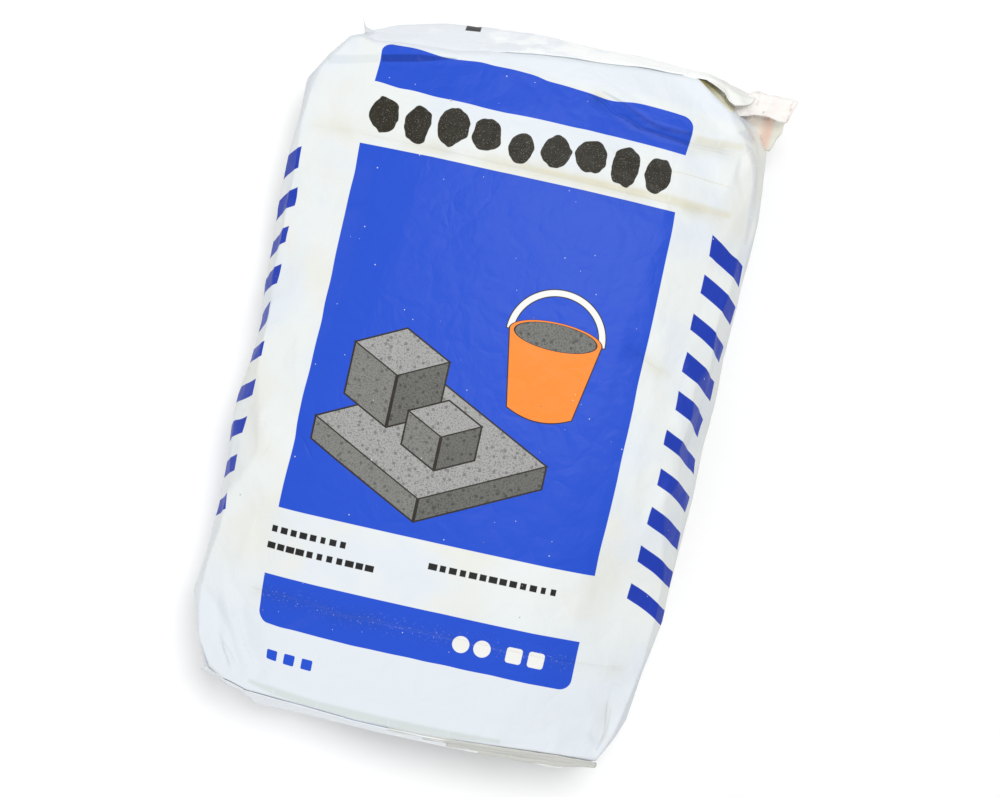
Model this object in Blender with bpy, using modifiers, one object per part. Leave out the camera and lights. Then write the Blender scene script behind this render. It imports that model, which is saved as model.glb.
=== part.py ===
"""A 20 kg paper valve sack of dry coarse concrete mix, lying on its back.

Metres, +Z up. X runs across the printed face, Y along it towards the valve end, and the origin is
the middle of the flat patch of paper that the sack rests on.

The pieces are the multi-ply paper tube with its folded ends (paper_sack), the dry mix inside it,
the cover patch pasted over each folded end, and the valve sleeve that sticks out of one corner.
"""

import math

import bmesh
import bpy

# The filled sack, over its widest points.
SACK_WIDTH = 0.320
SACK_LENGTH = 0.480
SACK_THICKNESS = 0.098

# How the filled shape departs from a plain block, as shares of the sizes above.
END_TAPER = 0.11  # width lost at the two folded ends
CORNER_PULL = 0.035  # length lost at the corners of each end
FACE_INSET = 0.035  # width and length lost by the upper and lower faces against mid-height
CROWN_DROP_ACROSS = 0.12  # height lost by the upper face at its long edges
CROWN_DROP_ALONG = 0.15  # height lost by the upper face at its two ends

# The control cage: where its outer rows run, between the middle and the edge, in X, Y and Z.
OUTER_ROWS = (0.81, 0.88, 0.80)
CAGE_CUTS = 3
SMOOTH_LEVELS = 2

# Paper. Three plies lie on each other as one wall; a fold of them is the thickness of a patch.
PAPER_THICKNESS = 0.0006
PATCH_THICKNESS = 0.0004
FIT_GAP = 0.0003

# The valve sleeve: a flattened paper tube through the corner of the upper end.
SLEEVE_FLAT_WIDTH = 0.056
SLEEVE_FLAT_HEIGHT = 0.0026
SLEEVE_WALL = 0.0005
SLEEVE_SIDES = 20
SLEEVE_INNER_END = 0.088  # X of the end inside the sack
SLEEVE_MOUTH = 0.167  # X of the open end outside it
SLEEVE_Y = 0.213
SLEEVE_Z = 0.050
SLEEVE_TILT = math.radians(-38)  # its upper edge leans out over the end

# The room for the sleeve through the paper and in the mix.
ROOM_FLAT_WIDTH = 0.0585
ROOM_FLAT_HEIGHT = 0.0034
ROOM_INNER_END = 0.0875
ROOM_OUTER_END = 0.190

# Colours, as linear red, green and blue.
COATED_WHITE = (0.83, 0.84, 0.85)
PATCH_WHITE = (0.78, 0.80, 0.83)
SLEEVE_CREAM = (0.84, 0.72, 0.64)
MIX_GREY = (0.30, 0.29, 0.27)

# Which part of the sack a face of the form belongs to.
BARE, VALVE_END, BOTTOM_END = 0, 1, 2

HALF = 0.5
INWARD = -1
OUTWARD = 1


def clear_scene():
    for obj in list(bpy.data.objects):
        bpy.data.objects.remove(obj, do_unlink=True)


def new_collection(name):
    collection = bpy.data.collections.new(name)
    bpy.context.scene.collection.children.link(collection)
    return collection


def paint(obj, name, colour, roughness):
    """Gives the object its one material."""
    material = bpy.data.materials.new(name)
    material.use_nodes = True
    shader = material.node_tree.nodes["Principled BSDF"]
    shader.inputs["Base Color"].default_value = (*colour, 1.0)
    shader.inputs["Roughness"].default_value = roughness
    shader.inputs["Metallic"].default_value = 0.0
    obj.data.materials.clear()
    obj.data.materials.append(material)


def row_place(unit, outer_row):
    """Where a cage row at unit (-1, -0.5, 0, 0.5 or 1) runs, with the outer rows near the edge."""
    if abs(unit) > HALF:
        return math.copysign(1.0, unit)
    return unit / HALF * outer_row


def filled_form(unit):
    """Moves a point of the unit cage, with each of its coordinates from -1 to 1, to the filled form."""
    across, along, up = (row_place(unit[k], OUTER_ROWS[k]) for k in range(3))
    inset = 1 - FACE_INSET * up**2
    width = SACK_WIDTH / 2 * (1 - END_TAPER * along**4) * inset
    length = SACK_LENGTH / 2 * (1 - CORNER_PULL * across**2) * inset
    crown = 1 - CROWN_DROP_ACROSS * across**2 - CROWN_DROP_ALONG * along**4
    unit.x = across * width
    unit.y = along * length
    unit.z = (up + 1) / 2 * SACK_THICKNESS * crown


def end_of_face(centre):
    """Which end's patch covers a face of the unit cage, by the face's centre."""
    in_inner_rows = abs(centre.x) < HALF and abs(centre.z) < HALF
    if abs(centre.y) < 1 or not in_inner_rows:
        return BARE
    return VALVE_END if centre.y > 0 else BOTTOM_END


def mesh_copy(obj, name):
    """The object's mesh as its modifiers leave it, as a mesh of its own."""
    graph = bpy.context.evaluated_depsgraph_get()
    mesh = bpy.data.meshes.new_from_object(obj.evaluated_get(graph))
    mesh.name = name
    return mesh


def fit_to_size(mesh):
    """Scales the smoothed form to the sack's overall sizes and sets its underside at Z 0."""
    low = [min(v.co[k] for v in mesh.vertices) for k in range(3)]
    high = [max(v.co[k] for v in mesh.vertices) for k in range(3)]
    sizes = (SACK_WIDTH, SACK_LENGTH, SACK_THICKNESS)
    for vertex in mesh.vertices:
        for k in range(3):
            share = (vertex.co[k] - low[k]) / (high[k] - low[k])
            vertex.co[k] = share * sizes[k]
            if k < 2:
                vertex.co[k] -= sizes[k] / 2


def outer_form(helpers):
    """The closed outer surface of the filled sack, which every paper piece is made from."""
    bpy.ops.mesh.primitive_cube_add(size=2)
    cage = bpy.context.object
    cage.name = "form_cage"
    shape = bmesh.new()
    shape.from_mesh(cage.data)
    bmesh.ops.subdivide_edges(shape, edges=shape.edges[:], cuts=CAGE_CUTS, use_grid_fill=True)
    for face in shape.faces:
        face.material_index = end_of_face(face.calc_center_median())
    for vertex in shape.verts:
        filled_form(vertex.co)
    shape.to_mesh(cage.data)
    shape.free()
    for _ in (BARE, VALVE_END, BOTTOM_END):
        cage.data.materials.append(None)
    smooth = cage.modifiers.new("smooth", "SUBSURF")
    smooth.levels = SMOOTH_LEVELS
    smooth.render_levels = SMOOTH_LEVELS
    form = mesh_copy(cage, "outer_form")
    fit_to_size(form)
    put_away(cage, helpers)
    return form


def put_away(obj, helpers):
    """Marks an object as a helper that is no piece of the sack."""
    for collection in list(obj.users_collection):
        collection.objects.unlink(obj)
    helpers.objects.link(obj)
    obj.hide_render = True
    obj.display_type = "WIRE"


def moved_form(form, distance, only=None):
    """A copy of the form with each point moved out along its normal, whole or only the faces of one end."""
    shape = bmesh.new()
    shape.from_mesh(form)
    shape.normal_update()
    normals = {vertex: vertex.normal.copy() for vertex in shape.verts}
    for vertex, normal in normals.items():
        vertex.co += normal * distance
    if only:
        dropped = [face for face in shape.faces if face.material_index != only]
        bmesh.ops.delete(shape, geom=dropped, context="FACES")
    for face in shape.faces:
        face.material_index = 0
    mesh = bpy.data.meshes.new(form.name + "_moved")
    shape.to_mesh(mesh)
    shape.free()
    return mesh


def link_piece(name, mesh, sack):
    piece = bpy.data.objects.new(name, mesh)
    sack.objects.link(piece)
    return piece


def solidify(piece, thickness, side):
    """Gives a surface its thickness, on the inner or the outer side of it."""
    wall = piece.modifiers.new("wall", "SOLIDIFY")
    wall.thickness = thickness
    wall.offset = side
    wall.use_rim = True


def flat_tube(name, flat_width, flat_height, x_from, x_to, capped):
    """A flattened round tube along X, leaning with the end fold, as a skin or with its ends closed."""
    bpy.ops.mesh.primitive_cylinder_add(
        vertices=SLEEVE_SIDES,
        radius=1.0,
        depth=1.0,
        end_fill_type="NGON" if capped else "NOTHING",
        rotation=(0, math.pi / 2, 0),
    )
    tube = bpy.context.object
    tube.name = name
    bpy.ops.object.transform_apply(location=False, rotation=True, scale=False)
    tube.scale = (x_to - x_from, flat_height / 2, flat_width / 2)
    bpy.ops.object.transform_apply(location=False, rotation=False, scale=True)
    tube.rotation_euler = (SLEEVE_TILT, 0, 0)
    tube.location = ((x_from + x_to) / 2, SLEEVE_Y, SLEEVE_Z)
    bpy.ops.object.transform_apply(location=True, rotation=True, scale=False)
    return tube


def sleeve_cutter(helpers):
    """The room that the sleeve takes, through the paper and into the mix."""
    cutter = flat_tube(
        "sleeve_room", ROOM_FLAT_WIDTH, ROOM_FLAT_HEIGHT, ROOM_INNER_END, ROOM_OUTER_END, True
    )
    put_away(cutter, helpers)
    return cutter


def cut(piece, cutter):
    slot = piece.modifiers.new("sleeve_room", "BOOLEAN")
    slot.operation = "DIFFERENCE"
    slot.solver = "EXACT"
    slot.object = cutter


def make_sack_paper(form, cutter, sack):
    """The paper tube with its folded ends: one wall all round, open only where the valve sleeve leaves it."""
    paper = link_piece("paper_sack", moved_form(form, 0.0), sack)
    solidify(paper, PAPER_THICKNESS, INWARD)
    cut(paper, cutter)
    paint(paper, "coated_white_paper", COATED_WHITE, 0.45)


def make_dry_mix(form, cutter, sack):
    """The dry mix that fills the sack, with a pocket where the sleeve lies in it."""
    mix = link_piece("dry_concrete_mix", moved_form(form, -(PAPER_THICKNESS + FIT_GAP)), sack)
    cut(mix, cutter)
    paint(mix, "dry_mix_grey", MIX_GREY, 0.95)


def make_end_patch(name, form, end, cutter, sack):
    """The cover strip pasted over one folded end."""
    patch = link_piece(name, moved_form(form, FIT_GAP, only=end), sack)
    solidify(patch, PATCH_THICKNESS, OUTWARD)
    cut(patch, cutter)
    paint(patch, name + "_paper", PATCH_WHITE, 0.6)


def make_valve_sleeve(sack):
    """The flattened paper tube that the sack was filled through."""
    sleeve = flat_tube(
        "valve_sleeve", SLEEVE_FLAT_WIDTH, SLEEVE_FLAT_HEIGHT, SLEEVE_INNER_END, SLEEVE_MOUTH, False
    )
    for collection in list(sleeve.users_collection):
        collection.objects.unlink(sleeve)
    sack.objects.link(sleeve)
    solidify(sleeve, SLEEVE_WALL, INWARD)
    paint(sleeve, "sleeve_paper", SLEEVE_CREAM, 0.6)


def main():
    clear_scene()
    sack = new_collection("concrete_mix_sack")
    helpers = new_collection("helpers")
    helpers.hide_render = True
    form = outer_form(helpers)
    cutter = sleeve_cutter(helpers)
    make_sack_paper(form, cutter, sack)
    make_dry_mix(form, cutter, sack)
    make_end_patch("valve_end_patch", form, VALVE_END, cutter, sack)
    make_end_patch("bottom_end_patch", form, BOTTOM_END, cutter, sack)
    make_valve_sleeve(sack)


main()
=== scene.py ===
"""Looks of a filled paper valve sack of dry coarse concrete mix, lying on its back on a pale floor.

The sack is inflated from a smooth form as cloth, then pressed towards a net of flat triangles
between the folds that the photograph shows. Its print and paper grain are shader nodes that read
the place of each point on the smooth form, and the marks along its folds read the folded place.
"""

import math
import random

import bmesh
import bpy
import numpy as np
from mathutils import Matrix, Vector, noise
from mathutils.bvhtree import BVHTree
from mathutils.geometry import delaunay_2d_cdt

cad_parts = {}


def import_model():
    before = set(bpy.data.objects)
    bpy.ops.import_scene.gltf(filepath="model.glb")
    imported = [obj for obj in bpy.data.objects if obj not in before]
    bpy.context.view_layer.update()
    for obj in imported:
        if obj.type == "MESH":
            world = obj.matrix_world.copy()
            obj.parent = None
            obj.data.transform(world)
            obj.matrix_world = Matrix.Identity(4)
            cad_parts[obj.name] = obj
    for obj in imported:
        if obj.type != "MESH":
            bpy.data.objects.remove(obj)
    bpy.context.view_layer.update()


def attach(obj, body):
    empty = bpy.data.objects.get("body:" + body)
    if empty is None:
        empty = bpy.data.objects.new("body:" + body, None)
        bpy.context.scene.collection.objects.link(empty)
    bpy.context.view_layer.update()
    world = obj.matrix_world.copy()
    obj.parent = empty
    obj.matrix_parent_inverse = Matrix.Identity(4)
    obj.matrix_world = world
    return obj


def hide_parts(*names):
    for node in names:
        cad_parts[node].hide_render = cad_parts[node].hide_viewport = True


MM = 0.001

# The smooth form: overall sizes in metres, then its departures from a plain block as shares.
FORM_SIZE = (0.309, 0.468, 0.090)
END_TAPER = 0.10
CORNER_PULL = 0.03
FACE_INSET = 0.03
CROWN_ACROSS = 0.10
CROWN_ALONG = 0.12
CAGE_ROWS = (
    (-1, -0.84, -0.58, -0.29, 0, 0.29, 0.58, 0.84, 1),
    (-1, -0.95, -0.78, -0.52, -0.26, 0, 0.26, 0.52, 0.78, 0.95, 1),
    (-1, -0.68, 0, 0.68, 1),
)
FORM_LEVELS = 3

# The cloth step: spare paper as a share, which buckles, and how far a point may move in metres.
SPARE_PAPER = 0.018
MOVE_CAP = 0.0085
CLOTH_FRAMES = 16
UNEVEN_HEIGHT = 0.002
UNEVEN_SCALE = 22.0
CLOTH_SETTINGS = {
    "quality": 8,
    "mass": 0.3,
    "tension_stiffness": 60,
    "compression_stiffness": 60,
    "shear_stiffness": 30,
    "bending_stiffness": 1,
    "tension_damping": 10,
    "compression_damping": 10,
    "air_damping": 3,
    "use_pressure": True,
    "uniform_pressure_force": 4,
    "shrink_min": -SPARE_PAPER,
}

# Camera: straight above, turned so that the sack leans as in the photograph.
CAMERA_HEIGHT = 1.15
CAMERA_PLACE = (0.0156, -0.0036)
CAMERA_TURN = math.radians(12.47)
VIEW_WIDTH = 0.675  # metres across the view at mid-height of the sack
VIEW_PLANE = 0.050
SENSOR = 36.0

FLOOR_SIZE = 12.0
FLOOR_DROP = -0.0005
FLOOR_COLOUR = (0.93, 0.93, 0.93, 1.0)
WORLD_STRENGTH = 0.46
LAMPS = (
    ("key", (0.30, 0.55, 1.95), 0.9, 24.0),
    ("near fill", (-0.3, -1.7, 0.9), 0.7, 8.5),
    ("left fill", (-1.7, 0.5, 0.9), 0.7, 6.0),
)

# Print, in millimetres from the middle of the form: low X, high X, low Y, high Y.
PANEL = (-109.4, 101.0, -103.1, 138.5)
TOP_BAND = (-109.4, 100.5, 178.0, 203.5)
BOTTOM_BAND = (-109.4, 100.0, -180.0, -147.0)
BAND_CORNER = 7.5
PEBBLE_ROW = (-109.0, 97.0, 140.0, 178.0)
PEBBLE_PITCH = 22.9
WORD_ROWS = ((-112.2, -59.4, -117.5), (-112.2, -39.6, -128.5), (-6.6, 79.2, -118.5))
WORD_PITCH = 6.6
WORD_HALF_HEIGHT = 2.1
SIDE_MOTIF_PITCH = 25.8
SIDE_MOTIF_CELLS = 5  # bars each way from the middle
SIDE_MOTIF_LOW = 26.0

# The bars on the end patches: low and high height, pitch, shift for each end and half length.
COVER_ROW = (20.0, 45.0)
COVER_PITCH = 13.0
COVER_SHIFT = {1: 10.0, -1: -26.0}
COVER_HALF = 58.5

# Colours, as linear red, green and blue.
PAPER_WHITE = (0.745, 0.775, 0.77, 1.0)
PAPER_WARM = (0.735, 0.745, 0.705, 1.0)
PAPER_COOL = (0.70, 0.745, 0.785, 1.0)
COVER_WHITE = (0.92, 0.94, 0.93, 1.0)
COVER_BLUE_GREY = (0.77, 0.81, 0.86, 1.0)
COVER_CREAM = (0.76, 0.77, 0.74, 1.0)
TIP_GREY = (0.70, 0.72, 0.74, 1.0)
PLY_CREAM = (0.58, 0.585, 0.55, 1.0)
KRAFT_SHADED_BROWN = (0.30, 0.26, 0.10, 1.0)
KRAFT_LIT_PALE = (0.78, 0.76, 0.58, 1.0)
SLEEVE_PINK = (0.88, 0.82, 0.79, 1.0)
SLEEVE_WHITE = (0.88, 0.86, 0.83, 1.0)
SLEEVE_TAN = (0.92, 0.83, 0.73, 1.0)
SLEEVE_PEACH = (0.87, 0.65, 0.54, 1.0)
SLEEVE_PALE = (0.85, 0.84, 0.74, 1.0)
SLEEVE_BROWN = (0.38, 0.28, 0.20, 1.0)
PRINT_BLUE = (0.018, 0.077, 0.57, 1.0)
SIDE_BLUE = (0.014, 0.044, 0.40, 1.0)
PEBBLE_BROWN = (0.026, 0.023, 0.015, 1.0)
WORD_BLACK = (0.018, 0.018, 0.018, 1.0)
ART_ORANGE = (0.93, 0.25, 0.035, 1.0)
ART_LINE = (0.03, 0.025, 0.02, 1.0)
ART_WHITE = (0.80, 0.80, 0.78, 1.0)
GRIT_BROWN = (0.20, 0.17, 0.12, 1.0)
# Yellow along the creases: partly stain, partly painted shade beside the folds.
STAIN_AND_SHADE_YELLOW = (0.80, 0.72, 0.50, 1.0)
MIX_GREYS = ((0.16, 0.155, 0.145, 1), (0.42, 0.41, 0.39, 1))

# Rows of marks: y, ink, and for each mark its middle along x, its half size and corner radius.
PRINT_MARKS = (
    (-164.0, ART_WHITE, ((25.0, 5.6, 5.6), (39.0, 5.6, 5.6), (60.0, 5.2, 2.0), (74.5, 5.2, 2.0))),
    (-200.0, PRINT_BLUE, ((-94.0, 3.6, 1.0), (-82.0, 3.6, 1.0), (-70.0, 3.6, 1.0))),
)

# The drawing on the panel. Each block has its middle, half width and height. Greys are dark and
# light, for the left face, the right face and the top. The bucket has its place, half width at the
# top and at the bottom, height and half height of its round rim.
BLOCKS = (((-22.0, -40.0), 76.0, 15.0), ((-52.0, 12.0), 31.0, 34.0), ((-16.0, -24.0), 24.0, 22.0))
BLOCK_GREYS = (
    ((0.12, 0.12, 0.11, 1), (0.21, 0.21, 0.20, 1)),
    ((0.07, 0.07, 0.065, 1), (0.14, 0.14, 0.13, 1)),
    ((0.19, 0.19, 0.185, 1), (0.36, 0.36, 0.35, 1)),
)
BUCKET_PLACE = (42.0, 42.0)
BUCKET_SIZE = (30.0, 21.0, 50.0, 9.5)
BUCKET_GREYS = ((0.08, 0.08, 0.075, 1), (0.17, 0.17, 0.16, 1))

# Specks: shift in mm, cells per mm, how rare they are as a factor and a start, soft edge, strength.
SPECKS = (
    ((0.0, 0.0, 0.0), 0.16, 0.13, 0.055, 0.01, 0.75, ART_WHITE),
    ((90.0, 35.0, 0.0), 0.06, 0.075, 0.035, 0.006, 0.6, GRIT_BROWN),
)

# The brown ply in the gap of the valve corner, with painted shade darkening it where it starts: where it
# starts on the front, and the way it runs.
KRAFT_CORNER = (99.0, 229.5)
KRAFT_WAY = (0.839, -0.542)

# How fast a crease line and its stain and painted shade fade with the square of the distance in mm.
LINE_FALL = -1.1
STAIN_AND_SHADE_FALL = -0.035
# How far in mm the crinkles of the paper are warped by noise.
CRINKLE_WARP = (34.0, 34.0, 34.0)

# The fold net, in millimetres. The paper between its points is pressed towards flat triangles.
# The outline goes round the sack at its widest, from the lower right corner.
NET_CENTRE = (0.0, 0.0, -110.0)
OUTLINE_HEIGHT = 49.0
OUTLINE = (
    (132, -228), (138.5, -211), (141, -193), (147.5, -164), (153.5, -130), (155, -95), (157, -68),
    (157.5, -38), (157.5, -8), (158.5, 25), (158, 55), (158.5, 90), (160, 125), (160, 150), (159, 176),
    (156.5, 197), (148, 208.5), (137, 219), (119, 232), (92, 240), (60, 241), (25, 241), (-12, 240.5),
    (-45, 239.5), (-76, 236), (-104, 229), (-123, 219.5), (-135.5, 213), (-145, 200), (-153.5, 177),
    (-157.5, 157), (-159, 130), (-159, 94), (-157.5, 62), (-157, 38), (-153.5, 14), (-154, -14),
    (-158, -40), (-158, -60), (-155, -84), (-154.5, -115), (-156, -148), (-155, -174), (-150.5, -198),
    (-141.5, -213), (-138, -221.5), (-125, -227.5), (-109, -233), (-100, -239), (-73, -240),
    (-22, -239.5), (25, -240), (68, -239.8), (107, -237.8),
)
# The rim of the front: x, y and height, or only x and y for a point just out of the filled form.
RIM = (
    (129, -223.8, 75), (135.8, -207.5, 75), (140, -190, 74), (143, -176, 73), (145.8, -160, 70),
    (146.5, -126), (146, -96), (142, -82), (134, -46), (141.5, -35), (136, -28), (137.5, -11), (135, 5),
    (140.5, 12), (138, 30), (146, 52), (144, 76), (148, 101), (149, 127), (149, 137, 68), (140, 142),
    (146.5, 156, 71), (149.7, 172, 70), (149.2, 182, 70), (146, 187.7, 73), (143, 190.3, 75),
    (136.7, 196.2, 77.5), (130.3, 197.3, 78.5), (129.7, 203.7, 79), (124, 208.2, 80),
    (123.5, 212.8, 79.5), (116.6, 216.7, 80), (109, 221.6, 80), (100.8, 227.5, 80), (97, 229.8, 79.5),
    (80, 228.4, 80.5), (60, 227.2, 81.5), (38, 224.5, 83), (9, 222.5, 84), (-33, 217, 84),
    (-62, 211, 84.5), (-85, 209.5, 84), (-103, 208.6, 83), (-111.5, 205.2, 81.5), (-117, 208, 80.5),
    (-124.5, 209.5, 79), (-131.5, 207.5, 77), (-141, 193.5, 78), (-146.5, 186, 77), (-150.5, 170, 74),
    (-152.5, 149, 72), (-150, 120, 72), (-150, 96), (-148, 72), (-149, 46), (-144, 22), (-145, 0),
    (-144, -20), (-147, -38), (-135, -50), (-129.5, -55), (-128, -63), (-131, -72), (-137, -88),
    (-146, -102), (-147, -128), (-151, -150, 68), (-151, -167, 70), (-149, -184, 71),
    (-145.5, -200, 72), (-135.5, -217, 70), (-121.5, -223.3, 75), (-108, -226.3, 79), (-80, -227, 82),
    (-33, -229.3, 83), (10, -229.3, 83), (30, -228.4, 83), (60, -226.2, 82.5), (102, -223.8, 80),
)
# Folds on the front: x, y and how far it stands out of the filled form.
FOLDS = (
    ((-129, 144.8, 0.3), (-108, 145, 0.4), (-60, 145, 0.5), (-18, 144.5, 0.5), (40, 144, 0.5),
     (95, 144, 0.5), (122, 143, 0.3)),
    ((-130, -158, 0.0), (-108, -160, 0.2), (-70, -160, 0.6), (-57, -164.5, -0.6), (-39, -161, 0.5),
     (11, -162, 0.5), (80, -162, 0.4), (121, -158.5, 0.3)),
    ((27.5, 204, -0.4), (41, 200.5, -1.8), (49, 195, -2.4), (58, 190.5, -2.6), (67.5, 188.2, -2.6),
     (84, 187, -2.6), (101.5, 185.8, -2.2), (120, 186.8, -1.4), (136, 189, -0.5)),
    ((35, 208, 0.4), (49, 204, 1.2), (57, 200.5, 1.5), (65.5, 197, 1.8), (72, 193.8, 1.8),
     (79, 192, 1.8), (90, 192, 1.6), (101, 193, 1.4), (120, 194.5, 1.0), (134, 195, 0.4)),
    ((-136, 189, -0.8), (-126, 191.3, -1.8), (-110, 195, -2.4), (-84.5, 200, -2.2), (-70, 203.5, -1.4),
     (-56, 206, -0.3)),
    ((-121, -50, -1.8), (-109, -57, -3.2), (-100, -63, -1.4), (-92, -70, 0.2)),
    ((-101, -46, -0.4), (-82, -50, -0.6)),
    ((-114, -80, 0.8), (-119, -96, 0.5)),
    ((-112, -32, 0.8), (-125, -30, 0.6)),
    ((84, 47, 0.0), (100, 42.6, -1.6), (114, 37, -1.8), (126.5, 37.5, -1.4)),
    ((112, 55, 0.7), (128, 52, 0.5)),
    ((112, 22, 0.6), (126, 18, 0.4)),
    ((122, -44, -0.8), (112, -40, 0.2)),
    ((125, 3, -0.6), (112, 0, 0.2)),
    ((118, -186, 0.6), (122, -203, 0.4), (112, -213, -0.6), (100, -206, -0.4)),
    ((129.4, -179.5, -0.4), (131, -194, -1.6), (128.5, -202, -1.0), (127.5, -210, -1.4),
     (125.5, -217, -0.8)),
    ((-136, -166, 1.4), (-128.5, -180.5, 1.6), (-121, -194, 1.2), (-108, -217, 0.6)),
    ((-122, -168, -1.6), (-120, -181, -2.0), (-113, -197, -1.6)),
    ((-139, -178, -2.4), (-134, -192, -2.4), (-122, -212, -1.6)),
    ((-128, -202, 0.6), (-117, -219, 0.4)),
    ((-104, -168, 0.5), (-101, -190, 0.6), (-92, -209, 0.2)),
    ((-137, -150, -0.9), (-131, -158, -0.6)),
    ((-128, -189.5, -1.2), (-117, -208, -1.3), (-113, -217, -1.0)),
    ((-106, -203, -0.8), (-100, -214, -0.9)),
    ((-97, -217.5, 1.2), (-90, -219.3, 2.0), (-58, -221.7, 2.6), (-10, -222.7, 2.8), (30, -222.3, 2.8),
     (60, -220.6, 2.4), (90, -219, 1.2)),
    ((126, 200, 1.0), (116, 196.5, 0.3)),
    ((144, 180, 0.8), (138, 172, -0.9)),
    ((118, 205, 0.2), (104, 213, 0.5)),
    ((130, 158, -0.5), (134, 172, 0.3)),
    ((-134, 170, 0.5), (-128, 120, -0.6), (-132, 96, 0.4)),
    ((-128, 60, -0.5), (-131, 34, 0.4), (-124, 10, -0.5), (-129, -12, 0.3)),
    ((128, 80, -0.5), (131, 112, 0.4)),
    ((124, -74, 0.3), (128, -108, -0.6), (126, -140, 0.3)),
    ((-125, -116, -0.5), (-127, -140, 0.6)),
)
# The gap behind the chamfered corner of the front, where the valve opens: x, y and height.
VALVE_GAP = ((102, 229.8, 77), (110.5, 224.5, 75), (118, 219.3, 75), (124.5, 215, 76))
# A ridge and a hollow of the crumpled corner below the valve, outside the rim of the front.
CORNER_RIDGE = ((134.5, 208, 75), (140, 199.5, 73), (146, 192.5, 69), (151.5, 184, 60))
CORNER_HOLLOW = ((141, 208, 58), (146.5, 200, 60), (150.5, 193, 55))

# The rings of the net below the rim: how uneven they are and how far they stand out, in mm, and
# the shares of the outline at which the lowest two lie.
NET_SEED = 7
RIM_OUT = 1.2  # how far the points of the rim without a height stand out of the form
OUTLINE_UNEVEN = (-6, 6)
MIDDLE_UNEVEN = (-3, 3)
MIDDLE_OUT = (0.5, 2.8)
LOW_SHARE_X = (0.965, 0.99)
LOW_SHARE_Y = 0.985
LOW_HEIGHT = (16, 26)
FLOOR_SHARE = (0.90, 0.93)
# More points on the front, so that the net follows its crown.
NET_GRID = ((-78, -26, 26, 78), (-125, -85, -28, 28, 75, 112))

# The paper near the floor: the share of the outline that it keeps to, how much that grows up to a
# height in mm, and the height in mm below which a point belongs to the underside.
FOOT_SHARE = 0.93
FOOT_FLARE = 0.045
FOOT_HEIGHT = 20.0
FOOT_BLEND = 6.0  # the last part of that height, over which this fades out
FOOT_UNDER = 3.0
FOOT_CALM = 0.7  # share of the underside, from its middle, that isn't drawn in

# How strongly the net draws the paper: on the front inside the calm half width and half length, at
# the edges, near the folds within a reach in mm, and how much of that the print moves along.
NET_WEIGHT_FRONT = 0.3
NET_WEIGHT_EDGE = 0.85
NET_WEIGHT_FOLD = 0.92
NET_CALM = (95, 140)
NET_FADE = 30
NET_FLOOR = (5, 12)  # the height up to which it doesn't draw, and that over which it sets in
NET_REACH = 15.0
PRINT_STAYS = 0.8

# Lines drawn by the shader along creases: points, strength of the line and of the stain and painted shade,
# a yellow tint that is partly real stain and partly painted shade beside the fold. Then, in mm, how far the
# stain and painted shade and the line reach, the soft edge of the line and the soft ends of both.
CREASES = (
    (((-151, 145), (-102, 145), (-18, 144.5), (42, 144), (95, 144), (140, 142)), 0.5, 0.9),
    (((-120, -159.5), (-108, -160), (-70, -160), (-57, -164), (-39, -161), (80, -162), (143, -160)),
     0.8, 0.4),
    (((27, 205), (41, 201), (49, 195), (67, 188), (84, 187), (101, 186), (137, 189)), 0.8, 0.9),
    (((-108, -52), (-100, -61), (-92, -70)), 0.8, 0.0),
    (((84, 47), (100, 42), (114, 37), (128, 37)), 0.5, 0.9),
    (((129.4, -179.5), (131.5, -196), (131, -208), (128, -216)), 1.0, 0.3),
    (((-134, -198), (-123, -210), (-117, -220)), 1.0, 0.0),
    (((-131, -169), (-126, -180), (-119, -194), (-104, -218)), 0.6, 0.0),
    (((-137, -50), (-126, -57), (-126, -66), (-134, -80)), 0.5, 0.0),
)
STAIN_AND_SHADE_REACH = 30.0
LINE_REACH = 4.5
LINE_EDGE = 1.5
LINE_ENDS = 8.0

# The map for baked colours, in mm on a square. The front has full size and lies at its origin. The
# underside lies beside it, and the four walls lie as strips above the underside, all smaller.
BAKE_SPAN = 500.0
BAKE_HALF = (165.0, 245.0)  # half the width and half the length of the front's part
BAKE_COLUMN = 338.0  # where the underside and the first strip start across
BAKE_ROW = 232.0  # where the strips start upward
BAKE_STRIP = 38.0  # from one strip to the next
BAKE_UNDER = 0.45  # scale of the underside
BAKE_HEIGHT = 0.4  # scale across a strip
BAKE_LENGTH = 0.5  # scale along a strip

# The end patches, in mm: low and high x for each end, and the distance along y and the height from
# which they are laid on the paper.
PATCH_REACH = {1: (-122.0, 99.0), -1: (-124.0, 127.0)}
PATCH_CENTRE = (190.0, 45.0)
PATCH_TOP = 3.2  # from the rim of the front down to the upper edge
PATCH_FOOT = 11.0  # height of the lower edge
PATCH_STANDOFF = 0.6
PATCH_THICKNESS = 0.0005  # in metres
PATCH_CELLS = (100, 22)
TUCK_START = -28.0  # left of here the edge of the upper patch is pasted down and can't be seen

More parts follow.
